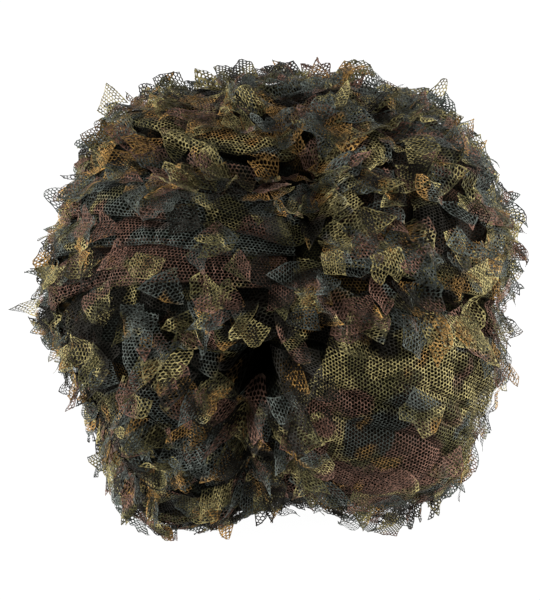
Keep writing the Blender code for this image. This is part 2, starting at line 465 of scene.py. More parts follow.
def bandMiddle(band):
    return (band + 0.5) * camo["bandWidth"]


def bandLean(n, place, band, strength):
    # how much the print leans to one tone: a soft hump in its own band of the cloth
    away = n.math("ABSOLUTE", n.math("SUBTRACT", n.split(place)[0], bandMiddle(band)))
    hump = n.math("SUBTRACT", 1.0, n.step(away, 0.09, 0.20))
    return n.math("MULTIPLY", hump, strength)


def blotchShare(n, place, offset, scale, edge, lean):
    # patches where a noise passes an edge, which the band moves; a fine noise frays their
    # borders from hole to hole
    field = n.math("ADD", n.noise(n.shifted(place, offset), scale, 1.0, 0.5, 0.3), lean)
    frayScale, frayStrength = camo["fray"]
    fray = n.math("MULTIPLY", n.noise(n.shifted(place, offset), frayScale, 1.0), frayStrength)
    return n.step(n.math("ADD", field, fray), edge + 0.015, edge + 0.080)


def printColour(n, place):
    # woodland print: soft blotches one over the other
    colour = camo["olive"]
    for tone, offset, scale, edge, band, strength in blotches:
        lean = bandLean(n, place, band, strength)
        share = blotchShare(n, place, offset, scale, edge, lean)
        colour = n.mix(share, colour, camo[tone])
    # the dye takes unevenly over a hand's width
    scale, strength = camo["worn"]
    worn = n.step(n.noise(n.shifted(place, (2, 6, 0)), scale, 1.5), 0.38, 0.66)
    colour = n.mix(n.math("MULTIPLY", worn, strength), colour, camo["bark"])
    # from yarn to yarn, random yarns go dark: part uneven dye, part painted sheen on the ones left
    # light
    scale, strength = camo["dyeAndSheen"]
    dyeAndSheen = n.step(n.noise(place, scale, 2.0), 0.38, 0.62)
    return n.mix(n.math("MULTIPLY", dyeAndSheen, strength), colour, camo["bark"])


def netFinish():
    n = Nodes("printed_net")
    place = clothPlace(n)
    setInputs(n.shader, {"Base Color": printColour(n, place), **yarn["finish"]})
    ridges = n.noise(place, yarn["ridgeScale"], 2.0, 0.5)
    setInputs(n.shader, {"Normal": n.bump(ridges, yarn["ridges"])})
    return n.material


def innerFinish():
    # the turn under the leaves: the same print under painted shade, more of it deeper under the
    # hood, with its holes painted nearly black as shade. A hole's middle is nearest on one of two
    # square grids, half a step apart both ways.
    n = Nodes("printed_net_ground")
    place = clothPlace(n)
    x, y, _ = n.split(place)
    across = n.math("DIVIDE", x, net["holePitch"])
    along = n.math("DIVIDE", y, 2 * net["rowPitch"])
    nearest = None
    for shift in (0.0, 0.5):
        dx = n.math("SUBTRACT", n.math("FRACT", n.math("ADD", across, shift)), 0.5)
        dy = n.math("SUBTRACT", n.math("FRACT", n.math("ADD", along, shift)), 0.5)
        dy = n.math("MULTIPLY", dy, 2 * net["rowPitch"] / net["holePitch"])
        apart = n.math("ADD", n.math("MULTIPLY", dx, dx), n.math("MULTIPLY", dy, dy))
        nearest = apart if nearest is None else n.math("MINIMUM", nearest, apart)
    strand = n.step(nearest, *ground["strandEdge"])
    # painted shade: the print goes dark over the whole turn, more so deeper under the hood
    deep = n.add("ShaderNodeAttribute", "Fac", {}, attribute_name="depth")
    deep = n.math("ADD", n.math("MULTIPLY", deep, ground["shadeBelow"]), ground["shadeAbove"])
    shade = n.mix(deep, printColour(n, place), ground["paintedShade"])
    colour = n.mix(strand, ground["holeShade"], shade)
    setInputs(n.shader, {"Base Color": colour, **ground["finish"]})
    setInputs(n.shader, {"Normal": n.bump(strand, ground["relief"])})
    return n.material


# The surface of the outer turn

# deep hollows that nothing covers: azimuth, elevation, reach in degrees, depth in metres
hollows = (
    (-7, 19, 5.6, 0.044),
    (-3, 24, 3.0, 0.014),
    (13, 29, 4.5, 0.018),
    (24, 27, 4.0, 0.012),
    (-9, 6, 4.0, 0.016),
    (-8, -3, 4.0, 0.010),
)
openHollows = hollows[:2]         # no leaf starts in these or reaches over them


def angleBetween(rayArray, azimuth, elevation):
    return np.degrees(np.arccos(np.clip(rayArray @ direction(azimuth, elevation), -1, 1)))


def nearTo(rayArray, azimuth, elevation, full, none):
    # 1 up to the first angle from a place, 0 past the second
    return 1 - ease(angleBetween(rayArray, azimuth, elevation), full, none)


skin = {
    "inset": 0.0078,          # below the solid's face, which takes in the leaves
    "cleftDepth": 0.0125,     # added where the creases are, past what the solid has
    "cleftWidth": 0.0065,
    "pleatPitch": 0.0230,     # puffed folds that run beside the creases
    "pleatHeight": 0.0085,
    "crumpleHeight": 0.0055,  # puffs across them
    "crumplePitch": 0.052,
    "hoodWidth": 0.0125,      # how far a lip bridges over a crease
}

solidChart = soundSolid()
softChart = blurChart(solidChart, 0.0036)
creaseGap = nearestCrease(rays, creases)[0]
lipGap = nearestCrease(rays, lipped)[0]
wander = waves(rays * body["meanRadius"], 0.07, 10, 5)


def hollowDepth(rayArray):
    depth = np.zeros(rayArray.shape[:-1])
    for azimuth, elevation, reach, deepest in hollows:
        depth += deepest * nearTo(rayArray, azimuth, elevation, 0.3 * reach, 1.25 * reach)
    return depth


def inHollow(rayArray, share):
    # whether each ray is within this share of an open hollow's reach
    return np.any([angleBetween(rayArray, azimuth, elevation) < share * reach
                   for azimuth, elevation, reach, _ in openHollows], axis=0)


pleat = puffs(np.pi * creaseGap / skin["pleatPitch"] + 1.3 * wander + 0.6)
crumple = puffs(1.9 * waves(rays * body["meanRadius"], skin["crumplePitch"], 14, 6))
skinChart = (softChart - skin["inset"]
             - skin["cleftDepth"] * np.exp(-(creaseGap / skin["cleftWidth"]) ** 1.4)
             + skin["pleatHeight"] * pleat * ease(creaseGap, 0.003, 0.012)
             + skin["crumpleHeight"] * crumple)
skinChart = blurChart(skinChart - hollowDepth(rays), 0.0012)
# what a cloth stretched over the folds would follow: a blur that favours the high places
hoodChart = blurChart(softChart ** 30, skin["hoodWidth"]) ** (1 / 30) - skin["inset"]
restChart = blurChart(skinChart, 0.0030)


def onRays(rayArray, radius):
    # points on the rays, never below the surface that the bundle rests on
    points = middle + rayArray * radius[..., None]
    points[..., 2] = np.maximum(points[..., 2], body["floorGap"])
    return points


print("chart: radius", solidChart.min().round(4), "to", solidChart.max().round(4))


# Inner turns: a closed form under the outer turn, painted dark as shade and seen through its holes

inner = {
    "below": 0.0050,          # under the outer turn
    "turns": 190,
    "tilts": 70,
    "clothAround": 1.20,      # metres of print round it and along it
    "clothAlong": 0.62,
    "deep": (0.006, 0.024),   # below the hood, where the painted shade starts and where it is full
}


def innerTurns(material):
    # the outer turn's radius less a fixed depth on a grid of rays, closed at both ends by a fan
    turn = np.arange(inner["turns"]) * 2 * np.pi / inner["turns"]
    tilt = np.linspace(-np.pi / 2, np.pi / 2, inner["tilts"] + 2)[1:-1]
    ray = np.vstack([rayGrid(turn, tilt).reshape(-1, 3), [[-1, 0, 0], [1, 0, 0]]])
    points = onRays(ray, readChart(skinChart, ray) - inner["below"])
    first = np.arange(inner["turns"]) * inner["tilts"]
    following = np.roll(first, -1)
    last = inner["tilts"] - 1
    leftTip, rightTip = first * 0 + len(points) - 2, first * 0 + len(points) - 1
    leftEnd = np.stack([following, first, leftTip, leftTip], 1)
    rightEnd = np.stack([first + last, following + last, rightTip, rightTip], 1)
    quads = np.concatenate([gridQuads(inner["turns"], inner["tilts"]), leftEnd, rightEnd])
    around, along = np.meshgrid(turn / (2 * np.pi), tilt / np.pi + 0.5, indexing="ij")
    cloth = np.stack([along.ravel(), around.ravel()], 1)
    cloth = np.vstack([cloth, [[0, 0.5], [1, 0.5]]]) * [inner["clothAlong"], inner["clothAround"]]
    piece = addPiece("innerTurns", points, quads, cloth, material)
    # how deep each point lies under the hood, for the shade painted between the turns
    away = points - middle
    reach = np.linalg.norm(away, axis=1)
    depth = readChart(hoodChart, away / reach[:, None]) - reach
    shade = piece.data.attributes.new("depth", "FLOAT", "POINT")
    shade.data.foreach_set("value", ease(depth, *inner["deep"]).astype(np.float32))
    return piece


# Lips: where a turn hangs over the crease below it

lip = {
    "rootDepth": 0.004,       # its back edge lies this far under the outer turn
    "rise": 0.0085,
    "curl": 0.0038,           # radius of the turned-under edge
    "curlAngle": 150.0,
    "gather": 0.0024,         # gathers that run across it
    "gatherPitch": 0.017,
    "rufflePitch": 0.016,     # lower ones that run along it
    "endDepth": 0.006,        # how far its two ends dive under the turn
    "samples": 160,
}

# places across the print, in bands, of some of the lips; the others get theirs by chance
lipBands = {"darkBand": 0.45, "longLip": 1, "pitBranch": 4, "rightLip": 3, "underBulge": 1}


def creaseLip(crease, index):
    # A strip of net beside the crease. s runs along the crease and t across the strip from its
    # back edge. The height over the hood grows with t to the rise, with gathers, puffs of
    # a sine of s and of t, on it. Past the straight part the edge turns under on a circle.
    name, sideSign, overhang, width, knots = crease
    line = creaseLine(knots, lip["samples"])
    radius = readChart(hoodChart, line)
    steps = np.linalg.norm(np.diff(line, axis=0), axis=1) * (radius[1:] + radius[:-1]) / 2
    length = np.concatenate([[0], np.cumsum(steps)])
    curlAngle = math.radians(lip["curlAngle"])
    depth = width + overhang + lip["curl"] * curlAngle

    def inside(across, up):
        span = (across - net["holePitch"]) / length[-1]
        return (span > 0) & (span < 1) & (up < depth)

    flat, quads = netPatch(length[-1], depth, inside)
    s = np.clip(flat[:, 0] - net["holePitch"], 0, length[-1])
    t = np.maximum(flat[:, 1], 0)
    share = s / length[-1]
    base, run = (unit(np.stack([np.interp(s, length, values[:, k]) for k in range(3)], 1))
                 for values in (line, unit(np.gradient(line, axis=0))))
    uphill = unit(np.cross(base, run)) * sideSign
    spot = np.stack([s, s * 0, s * 0 + 0.37 * index], -1)
    # the lip narrows to its ends, and its edge wanders
    fade = ease(share, 0, 0.16) * ease(1 - share, 0, 0.16)
    reach = overhang * (0.35 + 0.65 * fade) * (1 + 0.35 * waves(spot, 0.075, 5, 60 + index))
    straight = width + reach
    bent = np.minimum(np.clip(t - straight, 0, None) / lip["curl"], curlAngle)
    back = width - np.minimum(t, straight) - lip["curl"] * np.sin(bent)
    drop = lip["curl"] * (1 - np.cos(bent))
    slant = s + 0.7 * t * waves(spot, 0.09, 5, 90 + index)
    gather = puffs(np.pi * slant / lip["gatherPitch"] + 2.0 * waves(spot, 0.05, 5, 80 + index))
    ruffle = puffs(np.pi * (t + 0.2 * s) / lip["rufflePitch"] + waves(spot, 0.06, 5, 85 + index))
    height = min(lip["rise"], 0.002 + 0.7 * overhang) * ease(t, 0.2 * width, width)
    height = height * (1 + 0.5 * waves(spot, 0.06, 5, 70 + index))
    height += lip["gather"] * (gather + 0.8 * ruffle) * ease(t, 0.1 * width, 0.9 * width)
    height -= lip["rootDepth"] * (1 - ease(t, 0, 0.3 * width))
    height = height * fade - lip["endDepth"] * (1 - fade)
    ray = unit(base + uphill * (back / body["meanRadius"])[:, None])
    onHood = ease(t, 0.25 * width, 0.8 * width)
    under = readChart(hoodChart, ray) * onHood + readChart(skinChart, ray) * (1 - onHood)
    points = onRays(ray, under + height - drop - hollowDepth(ray))
    chance = np.random.default_rng(300 + index)
    band = lipBands.get(name, pickBand(base[len(base) // 2][None], chance)[0])
    cloth = (flat - np.mean(flat, axis=0))[:, ::-1] + [bandMiddle(band), chance.uniform(0.25, 1.35)]
    return points, quads, cloth


# Smooth turn: the wide fold of the outer turn that shows between the leaves

smooth = {
    "azimuth": 31,
    "elevation": 4,
    "heading": -42,           # of its pleats, in degrees from level
    "length": 0.205,
    "width": 0.190,
    "clothStart": 0.64,       # place across the print, in metres
    "pitch": 0.026,           # of the pleats
    "height": 0.0075,
    "rise": 0.0055,           # over the hood
    "crossPitch": 0.034,      # lower pleats that run aslant
    "crossShare": 0.3,
    "edgeDepth": 0.006,       # how far its edge dives under the leaves
}


def smoothTurn():
    # A patch of net on the hood, with a run along its pleats and b across them. Its height is
    # puffs of a sine of b and lower puffs aslant, and it fades to a rounded edge.
    length, width, height = smooth["length"], smooth["width"], smooth["height"]

    def inside(across, up):
        return np.abs(2 * across / length - 1) ** 3 + np.abs(2 * up / width - 1) ** 3 < 1

    flat, quads = netPatch(length, width, inside)
    a, b = flat[:, 0] - length / 2, flat[:, 1] - width / 2
    centre = direction(smooth["azimuth"], smooth["elevation"])
    run = headingOn(centre, smooth["heading"])
    over = np.cross(centre, run)
    ray = unit(centre + (a[:, None] * run + b[:, None] * over) / body["meanRadius"])
    edge = np.abs(2 * a / length) ** 3 + np.abs(2 * b / width) ** 3
    spot = np.stack([a, b, a * 0], -1)
    wave = waves(spot, 0.10, 6, 400)
    deep = 0.65 + 0.35 * waves(spot, 0.12, 6, 420)
    fold = height * deep * puffs(np.pi * b / smooth["pitch"] + 1.2 * wave)
    cross = puffs(np.pi * (a + 0.6 * b) / smooth["crossPitch"] + 1.5 * wave)
    fold += smooth["crossShare"] * height * cross
    lift = (smooth["rise"] + fold) * (1 - ease(edge, 0.45, 0.95))
    lift -= smooth["edgeDepth"] * ease(edge, 0.6, 1.0)
    points = onRays(ray, readChart(hoodChart, ray) + lift - hollowDepth(ray))
    return points, quads, flat[:, ::-1] + [smooth["clothStart"] - width / 2, 0.5]


# The outermost layer once the lips are on, for the leaves to lie on

def coverOf(parts):
    # in each cell of the chart the largest radius of the points in and around it
    cover = skinChart.copy()
    for points, _, _ in parts:
        away = points - middle
        radius = np.linalg.norm(away, axis=1)
        turn, tilt = chartPlace(away / radius[:, None])
        for a, b in ((0, 0), (0, 1), (1, 0), (1, 1)):
            row = (np.floor(turn).astype(int) + a) % body["turnSteps"]
            column = np.clip(np.floor(tilt).astype(int) + b, 0, body["tiltSteps"] - 1)
            np.maximum.at(cover, (row, column), radius)
    return blurChart(cover, 0.0022)


# Leaves: tongues cut in the net that stand off it

# outline from the root's left end to its right end, in outline steps across and along; its share
# of all the leaves
leafShapes = {
    "corner": (((-17, 0), (-13, 11), (1, 33), (12, 12), (17, 0)), 6),
    "dogEar": (((-15, 0), (-16, 12), (-14, 34), (5, 19), (15, 0)), 6),
    "tongue": (((-11, 0), (-12, 12), (-10, 25), (-4, 32), (4, 31), (10, 24), (11, 11), (11, 0)), 2),
    "square": (((-13, 0), (-14, 24), (12, 29), (14, 0)), 4),
    "point": (((-12, 0), (-12, 10), (-6, 24), (3, 42), (6, 23), (10, 10), (11, 0)), 5),
    "twin": (((-17, 0), (-18, 20), (-13, 28), (-3, 18), (8, 30), (15, 20), (17, 0)), 2),
    "broad": (((-20, 0), (-21, 11), (-11, 23), (6, 26), (17, 19), (21, 6), (20, 0)), 1),
    "hook": (((-11, 0), (-12, 13), (-4, 26), (12, 38), (13, 17), (11, 0)), 3),
    "flap": (((-21, 0), (-24, 22), (-19, 32), (-2, 26), (16, 35), (24, 22), (22, 0)), 1),
}
# how the net lies in a leaf: its turn in degrees, how far its holes are drawn out across and
# along the rows, and how wide its strands lie
latticePulls = (
    (0.0, 1.14, 0.86, 0.00070),
    (35.0, 0.80, 1.20, 0.00070),
    (90.0, 1.18, 0.80, 0.00070),
    (20.0, 0.86, 0.86, 0.00100),
)
bunchedPull = 3                   # the last is bunched, for leaves at the outline

leaves = {
    "count": 2440,
    "outlineStep": 0.00075,   # metres in one step of the outlines above
    "edgeWidth": 0.0007,
    "edgeStep": 0.0040,
    "templateReach": 0.06,    # half the patch of net that a leaf is cut from
    "templateShift": 0.018,
    "shake": 0.040,           # of the roots, off their even spiral
    "lipEdge": 0.016,         # width beside a crease where fewer leaves start
    "hanging": 0.60,          # share of those by a lip's free edge that hang over it
    "behind": 0.44,           # share kept at the back and low down
    "behindScale": 1.22,      # they are larger at the back
    "backFrom": 0.35,         # y of a ray, from where it counts as the back
    "clearOfCreases": 0.005,
    "lowestRoot": 0.008,
    "unruly": 0.62,           # share that may lie across a crease
    "byLip": 0.014,           # how near a lip's free edge a leaf may hang over it
    "clearEnough": 0.010,     # past this, a longer way to the next crease is no better
    "headingTries": 9,
    "hangDown": 0.004,        # what counts for a heading: that the leaf hangs, and hangs low
    "hangLowDown": 0.015,     # down, that it stands off the outline, and chance
    "faceOn": 0.020,
    "luck": 0.006,
    "outline": 0.30,          # rays this near to square with the view make the outline
    "flared": 0.82,           # share there that stand face on
    "flaredAbove": -0.3,
    "bunched": 0.75,          # share there whose net is bunched
    "rimShade": 0.44,          # share there from the print's darkest bands: painted shade on the outline
    "flaredCalm": 0.6,
    "lift": (10.0, 50.0),     # degrees at the root, between the leaf and the turn
    "flaredLift": (24.0, 50.0),
    "curl": (-20.0, 18.0),    # even bend along it, in radians for each metre
    "fold": (-58.0, 55.0),    # sharper bend part of the way along, in degrees
    "foldAt": (0.010, 0.030),
    "foldWidth": (0.004, 0.010),
    "cup": (-29.0, 29.0),     # bend across it
    "skew": 42.0,             # how far the bends turn off its own length, in degrees
    "scale": (0.88, 1.16),
    "rooted": 0.014,          # length from the root where it still follows the turn
    "pleat": 0.0008,
    "pleatPitch": (0.008, 0.015),
    "crossPleatPitch": 0.021,
    "offSkin": (0.0006, 0.0030),
    "rise": (0.011, 0.011),   # past the first height a leaf rises less and less
    "standProud": 0.021,      # limit past the solid's box
}

# calm places with few leaves, lying low: azimuth, elevation, reach in degrees, share kept
calmPlaces = (
    (31, 4, 26, 0.02),
    (150, 10, 22, 0.75),
    (0, -50, 36, 0.95),
)

# where the print leans one way: azimuth, elevation, reach in degrees, share of each band
# (slate, rust, olive, ochre, bark). Where bark is heavy, round the pit, below it and in the deep
# folds, it is partly the print's own dark patches and partly painted shade in the recesses.
leanings = (
    (-124, 60, 30, (0.28, 0.06, 0.36, 0.16, 0.14)),
    (168, 74, 22, (0.36, 0.10, 0.36, 0.10, 0.08)),
    (105, 52, 34, (0.56, 0.02, 0.24, 0.02, 0.16)),
    (50, 74, 20, (0.46, 0.04, 0.34, 0.08, 0.08)),
    (-71, 56, 24, (0.08, 0.14, 0.34, 0.38, 0.06)),
    (-10, 66, 22, (0.16, 0.20, 0.26, 0.28, 0.10)),
    (-62, 36, 20, (0.22, 0.24, 0.15, 0.20, 0.19)),
    (-15, 50, 20, (0.12, 0.24, 0.14, 0.26, 0.24)),
    (38, 49, 22, (0.32, 0.06, 0.30, 0.10, 0.22)),
    (72, 25, 22, (0.42, 0.06, 0.28, 0.14, 0.10)),
    (-74, 8, 22, (0.24, 0.02, 0.54, 0.20, 0.00)),
    (-31, 32, 17, (0.42, 0.06, 0.16, 0.04, 0.32)),
    (31, 29, 17, (0.12, 0.12, 0.16, 0.06, 0.54)),
    (-18, 15, 13, (0.20, 0.28, 0.12, 0.10, 0.30)),
    (10, 22, 13, (0.04, 0.16, 0.06, 0.02, 0.72)),
    (-4, 2, 15, (0.36, 0.04, 0.02, 0.02, 0.56)),
    (44, 12, 17, (0.06, 0.14, 0.36, 0.44, 0.00)),
    (28, -6, 18, (0.38, 0.28, 0.20, 0.14, 0.00)),
    (32, 12, 10, (0.10, 0.50, 0.40, 0.00, 0.00)),
    (-40, 4, 17, (0.20, 0.03, 0.26, 0.13, 0.38)),
    (2, -24, 15, (0.22, 0.02, 0.18, 0.08, 0.50)),
    (-30, -20, 20, (0.20, 0.02, 0.32, 0.14, 0.32)),
    (30, -36, 20, (0.30, 0.04, 0.20, 0.14, 0.32)),
    (160, 20, 50, (0.30, 0.12, 0.32, 0.18, 0.08)),
)
anywhere = (0.30, 0.08, 0.34, 0.18, 0.10)


def leafTemplate(outline, pull):
    # flat net leaf: the strands inside the outline run on to it, and a cut edge follows it
    edge = np.array(outline, float) * leaves["outlineStep"]
    edge = np.vstack([[edge[0, 0], -0.004], edge, [edge[-1, 0], -0.004]])
    start, finish = edge, np.roll(edge, -1, axis=0)
    latticeTurn, acrossPull, alongPull, strandWidth = pull
    turn = math.radians(latticeTurn)
    reach, shift = leaves["templateReach"], [0, leaves["templateShift"]]
    columns = int(2 * reach / net["holePitch"] / acrossPull) + 4
    rows = int(2 * reach / net["rowPitch"] / alongPull) + 4
    stretch = np.array([acrossPull, alongPull])
    axes = np.array([[math.cos(turn), math.sin(turn)], [-math.sin(turn), math.cos(turn)]])

    def within(x, y):
        # ray crossing count over the outline's sides
        odd = np.zeros(x.shape, bool)
        for (ax, ay), (bx, by) in zip(start, finish):
            if ay != by:
                crosses = ((ay > y) != (by > y)) & (x < (bx - ax) * (y - ay) / (by - ay) + ax)
                odd ^= crosses
        return odd

    grid = np.stack(nodePlaces(rows, columns), -1) * stretch - reach
    grid = grid @ axes + shift
    kept = within(grid[..., 0], grid[..., 1])
    kept[0], kept[-1], kept[:, 0], kept[:, -1] = False, False, False, False
    flat, offset, quads = netFaces(kept, strandWidth, reach=True)
    spot = (flat * stretch - reach) @ axes + shift
    # nodes outside go to the nearest place on the outline
    along = finish - start
    share = np.einsum("vec,ec->ve", spot[:, None] - start[None], along) / np.sum(along ** 2, 1)
    foot = start[None] + np.clip(share, 0, 1)[..., None] * along[None]
    nearest = np.argmin(np.linalg.norm(spot[:, None] - foot, axis=-1), axis=1)
    outside = ~within(spot[:, 0], spot[:, 1])
    spot[outside] = foot[np.arange(len(spot)), nearest][outside]
    spot += offset @ axes
    cutEdges = [cutEdge(a, b) for a, b in zip(edge[:-1], edge[1:])]
    return joined([(spot, quads, spot), *cutEdges])[:2]


def cutEdge(a, b):
    # a ribbon from a to b, on the inner side of the outline
    steps = max(1, round(np.linalg.norm(b - a) / leaves["edgeStep"]))
    share = np.linspace(0, 1, steps + 1)[:, None]
    line = a + (b - a) * share
    inward = unit(np.array([(b - a)[1], -(b - a)[0]])) * leaves["edgeWidth"]
    points = np.concatenate([line, line + inward])
    k = np.arange(steps)
    quads = np.stack([k, k + steps + 1, k + steps + 2, k + 1], 1)
    return points, quads, points


def some(share, rayArray, chance):
    return chance.uniform(0, 1, len(rayArray)) < share


def pickBand(rayArray, chance):
    # which band of the print each ray's cloth comes from
    shares = np.tile(np.array(anywhere), (len(rayArray), 1))
    for azimuth, elevation, reach, share in leanings:
        near = nearTo(rayArray, azimuth, elevation, 0.6 * reach, 1.1 * reach)[:, None]
        shares = shares * (1 - near) + np.array(share) * near
    totals = np.cumsum(shares, axis=1)
    draw = chance.uniform(0, 1, len(rayArray)) * totals[:, -1]
    return np.minimum((draw[:, None] > totals).sum(axis=1), 4)


def leafRoots():
    # even spiral over the ball, shaken, without the flat spot, hollows and crease floors
    chance = np.random.default_rng(net["seed"])
    count = leaves["count"]
    k = np.arange(count) + 0.5
    rise = 1 - 2 * k / count
    turn = np.pi * (1 + 5 ** 0.5) * k
    ray = np.stack([np.sqrt(1 - rise ** 2) * np.cos(turn), np.sqrt(1 - rise ** 2) * np.sin(turn),
                    rise], 1)
    ray = unit(ray + chance.normal(size=ray.shape) * leaves["shake"])
    root = middle + ray * readChart(restChart, ray)[:, None]
    gap, over, overhang = nearestCrease(ray, lipped)
    chanceToStay = np.where(over & (gap < leaves["lipEdge"]), 0.85, 1.0)
    hidden = (ray[:, 1] > leaves["backFrom"]) | (ray[:, 2] < -0.8)
    chanceToStay = np.where(hidden, leaves["behind"], 1.0) * chanceToStay
    for azimuth, elevation, reach, share in calmPlaces:
        near = nearTo(ray, azimuth, elevation, 0.7 * reach, reach)
        chanceToStay = chanceToStay * (1 - near * (1 - share))
    good = (root[:, 2] > leaves["lowestRoot"])
    good &= gap > leaves["clearOfCreases"] + np.where(over, 0, overhang)
    good &= ~inHollow(ray, 1.1)
    good &= some(chanceToStay, ray, chance)
    return ray[good]


cameraElevation = 38.0            # degrees
frontAxis = direction(0, cameraElevation)     # from the bundle to the camera


def leafHeadings(ray, length, flared, chance):
    # of several random headings each leaf takes the one that covers no crease or hollow, and
    # more leaves hang down the bundle than stand up it
    helper = unit(np.cross(ray, [[0.31, 0.22, 0.92]]))
    other = np.cross(ray, helper)
    best = np.full(len(ray), -1e9)
    chosen = np.zeros_like(ray)
    gap, over, _ = nearestCrease(ray, lipped)
    # some by the free edge of a lip hang over it
    hanging = over & (gap < leaves["byLip"]) & some(leaves["hanging"], ray, chance)
    unruly = some(leaves["unruly"], ray, chance)
    lowDown = ease(-ray[:, 2], 0.20, 0.45)     # there they hang
    for _ in range(leaves["headingTries"]):
        heading = chance.uniform(0, 2 * np.pi, len(ray))
        run = np.cos(heading)[:, None] * helper + np.sin(heading)[:, None] * other
        clear = np.full(len(ray), 1.0)
        for share in (0.3, 0.65, 1.0):
            spot = unit(ray + run * (share * length / body["meanRadius"])[:, None])
            clear = np.where(unruly, clear, np.minimum(clear, readChart(lipGap, spot)))
            clear = np.where(inHollow(spot, 0.65), -0.02, clear)
        clear = np.where(hanging & (clear > 0), leaves["clearEnough"] - clear, clear)
        score = np.minimum(clear, leaves["clearEnough"]) - leaves["hangDown"] * run[:, 2]
        score = score + chance.uniform(0, leaves["luck"], len(ray))
        score = score - leaves["faceOn"] * flared * (run @ frontAxis)
        score = score - leaves["hangLowDown"] * lowDown * run[:, 2]
        better = score > best
        best = np.where(better, score, best)
        chosen[better] = run[better]
    return chosen, np.cross(chosen, ray)


def bendProfile(lift, curl, fold, foldAt, foldWidth):
    # forward and upward travel along a leaf that bends evenly and folds once
    u = np.linspace(-0.034, 0.066, 101)
    angle = lift + curl * u + fold * 0.5 * (1 + np.tanh((u - foldAt) / foldWidth))
    angle = angle * ease(u, -0.001, 0.007)
    step = u[1] - u[0]
    forward = np.cumsum(np.cos(angle)) * step
    upward = np.cumsum(np.sin(angle)) * step
    zero = np.searchsorted(u, 0)
    return u, angle, forward - forward[zero], upward - upward[zero]


def layLeaf(flat, ray, run, across, chance, calm, liftRange, rise, printStart, larger=1):
    # One leaf's points. The flat leaf is turned by its skew, follows the bend profile along and
    # a circle across, with pleats of two sines on it, and is turned back. Then it stands on the
    # turn below it: its forward and sideways travel move the ray, and its height adds to the
    # radius there, less and less past the free height.
    scale = chance.uniform(*leaves["scale"]) * larger
    mirror = chance.choice([-1.0, 1.0])
    x, y = flat[:, 0] * scale * mirror, flat[:, 1] * scale
    skew = math.radians(chance.uniform(-leaves["skew"], leaves["skew"]))
    v, u = turned(x, y, skew)
    lift = math.radians(chance.uniform(*liftRange)) * calm
    curl = chance.uniform(*leaves["curl"]) * calm
    fold = math.radians(chance.uniform(*leaves["fold"])) * calm
    foldAt = chance.uniform(*leaves["foldAt"])
    foldWidth = chance.uniform(*leaves["foldWidth"])
    length, *profile = bendProfile(lift, curl, fold, foldAt, foldWidth)
    angle, forward, upward = (np.interp(u, length, values) for values in profile)
    cup = chance.uniform(*leaves["cup"])
    cup = cup if abs(cup) > 2 else 2.0      # never flat
    side = np.sin(cup * v) / cup
    bow = (1 - np.cos(cup * v)) / cup
    rising = ease(y, 0.0, leaves["rooted"])
    pleatHeight = leaves["pleat"] * rising
    pitch = chance.uniform(*leaves["pleatPitch"])
    crossPhase = 2 * np.pi * (u + 0.4 * v) / leaves["crossPleatPitch"]
    bow = bow + pleatHeight * np.sin(2 * np.pi * v / pitch + chance.uniform(0, 6.28))
    bow = bow + 0.8 * pleatHeight * np.sin(crossPhase + chance.uniform(0, 6.28))
    forward = forward - bow * np.sin(angle)
    upward = upward + bow * np.cos(angle) * (0.25 + 0.75 * rising)
    back, sideways = turned(forward, side, skew)
    spot = unit(ray + (back[:, None] * run + sideways[:, None] * across) / body["meanRadius"])
    upward = np.maximum(upward, 0) + 0.25 * np.minimum(upward, 0)
    free, slack = rise
    upward = np.minimum(upward, free) + slack * np.tanh(np.maximum(upward - free, 0) / slack)
    radius = readChart(coverChart, spot) + upward + chance.uniform(*leaves["offSkin"])
    points = middle + spot * radius[:, None]
    cloth = np.stack(turned(x, y, chance.uniform(0, 2 * np.pi)), 1) + printStart
    return points, cloth


def layLeaves(ray):
    # a shape, a pull of the net, a heading, a band and a calmness for each root, then its leaf
    chance = np.random.default_rng(net["seed"] + 1)
    weights = np.array([weight for _, weight in leafShapes.values()], float)
    shapeOf = chance.choice(len(leafShapes), len(ray), p=weights / weights.sum())
    nearOutline = np.abs(ray @ frontAxis) < leaves["outline"]
    flared = nearOutline & (ray[:, 2] > leaves["flaredAbove"])
    flared &= some(leaves["flared"], ray, chance)
    bunched = nearOutline & some(leaves["bunched"], ray, chance)
    pullOf = np.where(bunched, bunchedPull, chance.integers(0, bunchedPull, len(ray)))
    templates = [[leafTemplate(outline, pull) for pull in latticePulls]
                 for outline, _ in leafShapes.values()]
    lengths = np.array([templates[s][t][0][:, 1].max() for s, t in zip(shapeOf, pullOf)])
    run, across = leafHeadings(ray, 0.9 * lengths, flared, chance)
    band = pickBand(ray, chance)
    # painted shade: some leaves at the outline take the print's darkest bands
    paintedShade = nearOutline & some(leaves["rimShade"], ray, chance)
    band = np.where(paintedShade, chance.choice([0, 4], len(ray)), band)
    calm = np.ones(len(ray))
    for azimuth, elevation, reach, _ in calmPlaces:
        calm -= 0.5 * nearTo(ray, azimuth, elevation, 0.7 * reach, reach)
    calm = np.clip(calm, 0.5, 1)
    made = []
    for k in range(len(ray)):
        flat, quads = templates[shapeOf[k]][pullOf[k]]
        printStart = (bandMiddle(band[k]) + chance.uniform(-camo["patchReach"], camo["patchReach"]),
                      chance.uniform(0.06, net["clothWidth"]))
        steady = leaves["flaredCalm"] * calm[k] if flared[k] else calm[k]
        liftRange = leaves["flaredLift"] if flared[k] else leaves["lift"]
        larger = leaves["behindScale"] if ray[k, 1] > leaves["backFrom"] else 1
        points, cloth = layLeaf(flat, ray[k], run[k], across[k], chance, steady, liftRange,
                                leaves["rise"], printStart, larger)
        made.append((points, quads, cloth))
    return made


# leaves laid one by one are calmer, and stand out further
standing = {
    "calm": 0.6,              # share of the other leaves' bends
    "outward": 0.007,
    "rise": (0.030, 0.010),
    "pull": 2,                # row of latticePulls
    "printRow": 0.7,
}


